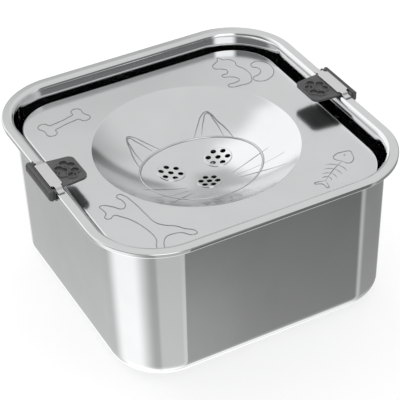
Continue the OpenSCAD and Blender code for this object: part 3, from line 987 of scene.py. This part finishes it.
# Studio cards. Azimuth runs from the front (0) over the left side (90) to the back (180).
# Each has: from and to azimuth, the blur outside each, lowest and highest elevation, the blur outside each,
# and the light that it adds or, as a flag, takes away
CARDS = {
    "front_flag": (-42, -25, 9, 1.5, -90, -4, 1, 8, -0.37),
    "front_glow": (-28, -20, 4, 6, -90, -44, 1, 4, 0.10),
    "right_flag": (-120, -60, 14, 9, -90, 20, 1, 25, -0.25),
    "thin_flag": (34, 38, 8, 16, -90, 0, 1, 8, -0.18),
    "left_softbox": (76, 106, 30, 32, -90, 12, 1, 14, 0.60),
    "back_glow": (176, -142, 16, 22, -90, -4, 1, 10, 0.58),
    "front_flag_above": (-37, -12, 7, 8, 4, 29, 8, 12, -0.62),
    "front_softbox": (-1, 30, 7, 8, 22, 52, 12, 10, 0.75),
    "left_flag": (42, 104, 6, 20, 24, 54, 10, 10, -0.57),
    "back_softbox": (146, -168, 12, 5, 4, 50, 8, 12, 0.44),
    "far_flag": (-165, -154, 4, 4, -2, 31.5, 3, 2.5, -0.24),
    "dark_flag": (-144, -122, 5, 5, 2, 15, 4, 4, -0.50),
}


class BOWL_OT_stage(Operator):
    """Make the pale floor, the studio light and the camera"""

    bl_idname = "bowl.make_stage"
    bl_label = "Stage"

    def execute(self, context):
        s = context.scene.bowl_studio
        self.make_camera(context.scene, s)
        self.make_floor(s)
        self.make_studio(context.scene)
        context.scene.view_settings.view_transform = "Standard"
        return {"FINISHED"}

    def make_camera(self, scene, s):
        """Camera at the photograph's place, with its axes worked out from azimuth, elevation and roll."""
        azimuth, elevation, roll = s.camera_turn
        right = Vector((math.cos(azimuth), math.sin(azimuth), 0))
        back = Vector((math.sin(azimuth) * math.cos(elevation), -math.cos(azimuth) * math.cos(elevation),
                       math.sin(elevation)))
        up = back.cross(right)
        turned_right = right * math.cos(roll) + up * math.sin(roll)
        turned_up = up * math.cos(roll) - right * math.sin(roll)
        deselect()
        bpy.ops.object.camera_add(location=s.camera_place)
        camera = bpy.context.object
        camera.name = "bowl_camera"
        camera.matrix_world = self.placed(turned_right, turned_up, back, s.camera_place)
        camera.data.lens = s.lens
        camera.data.sensor_width = 36.0
        camera.data.clip_start, camera.data.clip_end = 0.05, 50.0
        scene.camera = camera

    def placed(self, right, up, back, place):
        """Matrix with these axes at this place."""
        matrix = Matrix((right, up, back)).transposed().to_4x4()
        matrix.translation = Vector(place)
        return matrix

    def make_floor(self, s):
        """Plain pale floor that keeps the bowl's shadow and that mirror-bright steel doesn't see."""
        deselect()
        bpy.ops.mesh.primitive_plane_add(size=s.floor_size)
        floor = name_piece(bpy.context.object, "floor")
        material = bpy.data.materials.new("pale_floor")
        material.use_nodes = True
        material.node_tree.nodes.clear()
        g = Graph(material.node_tree)
        matt = g.node("ShaderNodeBsdfDiffuse", {"Color": (0.8, 0.8, 0.8, 1.0)})
        seen = g.node("ShaderNodeLightPath").outputs["Is Camera Ray"]
        glow = g.node("ShaderNodeEmission", {"Strength": g.math("MULTIPLY", seen, s.floor_lift)})
        both = g.node("ShaderNodeAddShader", {0: matt.outputs[0], 1: glow.outputs[0]})
        g.node("ShaderNodeOutputMaterial", {"Surface": both.outputs[0]})
        floor.data.materials.append(material)
        floor.visible_glossy = False

    def make_studio(self, scene):
        """World of soft cards and flags that light the bowl. The camera sees plain white."""
        world = bpy.data.worlds.new("studio")
        scene.world = world
        world.use_nodes = True
        world.node_tree.nodes.clear()
        g = Graph(world.node_tree)
        way = g.node("ShaderNodeSeparateXYZ", {0: g.node("ShaderNodeTexCoord").outputs["Generated"]}).outputs
        azimuth = g.math("DEGREES", g.math("ARCTAN2", g.math("MULTIPLY", way["X"], -1.0),
                                           g.math("MULTIPLY", way["Y"], -1.0)))
        elevation = g.math("DEGREES", g.math("ARCSINE", way["Z"]))
        light = 0.0
        for band in BACKDROP:
            light = g.math("ADD", g.ramp(elevation, *band), light)
        group = studio_card_group()
        for name, (start, end, near, far, low, high, low_blur, high_blur, strength) in CARDS.items():
            width = (end - start) % 360
            card = g.node("ShaderNodeGroup", node_tree=group, name=name)
            values = {"Azimuth": azimuth, "Elevation": elevation, "Middle": start + width / 2,
                      "Half width": width / 2, "Near blur": near, "Far blur": far, "Low": low, "High": high,
                      "Low blur": low_blur, "High blur": high_blur}
            g.fill(card, values)
            light = g.math("MULTIPLY_ADD", card.outputs["Card"], strength, light)
        light = g.math("MAXIMUM", light, LEAST_LIGHT)
        colour = g.node("ShaderNodeCombineColor", {0: light, 1: light, 2: light}).outputs[0]
        seen = g.node("ShaderNodeLightPath").outputs["Is Camera Ray"]
        white = (1.0, 1.0, 1.0, 1.0)
        shown = g.node("ShaderNodeMix", {"Factor": seen, 6: colour, 7: white}, data_type="RGBA")
        sky = g.node("ShaderNodeBackground", {"Color": shown.outputs[2], "Strength": 1.0})
        g.node("ShaderNodeOutputWorld", {"Surface": sky.outputs[0]})


class BOWL_PT_sidebar(Panel):
    """The bowl's operators and values"""

    bl_label = "Drinking Bowl"
    bl_idname = "BOWL_PT_sidebar"
    bl_space_type = "VIEW_3D"
    bl_region_type = "UI"
    bl_category = "Bowl"

    def draw(self, context):
        for maker in OPERATORS:
            self.layout.operator(maker.bl_idname)
        for title, settings in SETTINGS.items():
            box = self.layout.box()
            box.label(text=settings.__doc__)
            for key in settings.__annotations__:
                box.prop(getattr(context.scene, title), key)


OPERATORS = (BOWL_OT_stage, BOWL_OT_tub, BOWL_OT_plate, BOWL_OT_pressed_lines, BOWL_OT_clips,
             BOWL_OT_floats, BOWL_OT_feet)
SETTINGS = {"bowl_tub": TubSizes, "bowl_plate": PlateSizes, "bowl_clips": ClipSizes,
            "bowl_finish": FinishSettings, "bowl_studio": StudioSettings}


def register():
    for made in (*SETTINGS.values(), *OPERATORS, BOWL_PT_sidebar):
        bpy.utils.register_class(made)
    for title, settings in SETTINGS.items():
        setattr(bpy.types.Scene, title, PointerProperty(type=settings))


def unregister():
    for title in SETTINGS:
        delattr(bpy.types.Scene, title)
    for made in (BOWL_PT_sidebar, *reversed(OPERATORS), *reversed(SETTINGS.values())):
        bpy.utils.unregister_class(made)


def main():
    register()
    for maker in OPERATORS:
        group, name = maker.bl_idname.split(".")
        getattr(getattr(bpy.ops, group), name)()


if __name__ == "__main__":
    main()
